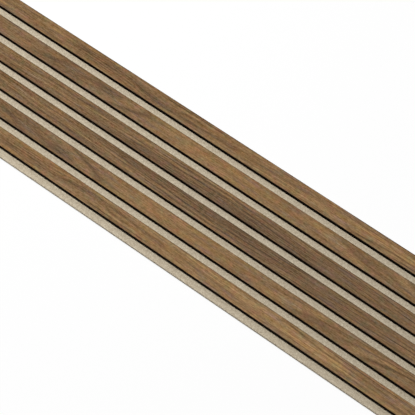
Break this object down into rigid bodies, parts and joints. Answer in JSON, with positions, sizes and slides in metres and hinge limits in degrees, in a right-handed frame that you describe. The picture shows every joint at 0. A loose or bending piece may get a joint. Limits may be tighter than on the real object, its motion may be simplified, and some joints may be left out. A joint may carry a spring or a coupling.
{
  "type": "acoustic slat wall panel",
  "caption": "Long wall panel of parallel walnut-faced slats stapled to a beige felt backing, with felt in each gap and as a strip along one edge.",
  "frame": {"origin": "middle of the felt's back face, where the wall is", "axes": "+X along the slats, +Y across them towards the edge where a slat is flush with the felt, +Z out of the slatted face"},
  "size_m": [2.4, 0.24, 0.021],
  "materials": {
    "felt": "beige pressed polyester felt, matt, short-fibred",
    "black_board": "black dyed fibreboard, sawn and sanded, matt",
    "walnut_veneer": "walnut veneer, grain along the slat, satin",
    "staple_steel": "zinc-plated wire"
  },
  "bodies": {
    "root": {"felt_backing": "felt", "slat_core_1": "black_board", "slat_core_2": "black_board", "slat_core_3": "black_board", "slat_core_4": "black_board", "slat_core_5": "black_board", "slat_core_6": "black_board", "slat_veneer_1": "walnut_veneer", "slat_veneer_2": "walnut_veneer", "slat_veneer_3": "walnut_veneer", "slat_veneer_4": "walnut_veneer", "slat_veneer_5": "walnut_veneer", "slat_veneer_6": "walnut_veneer", "staples": "staple_steel"}
  },
  "joints": []
}
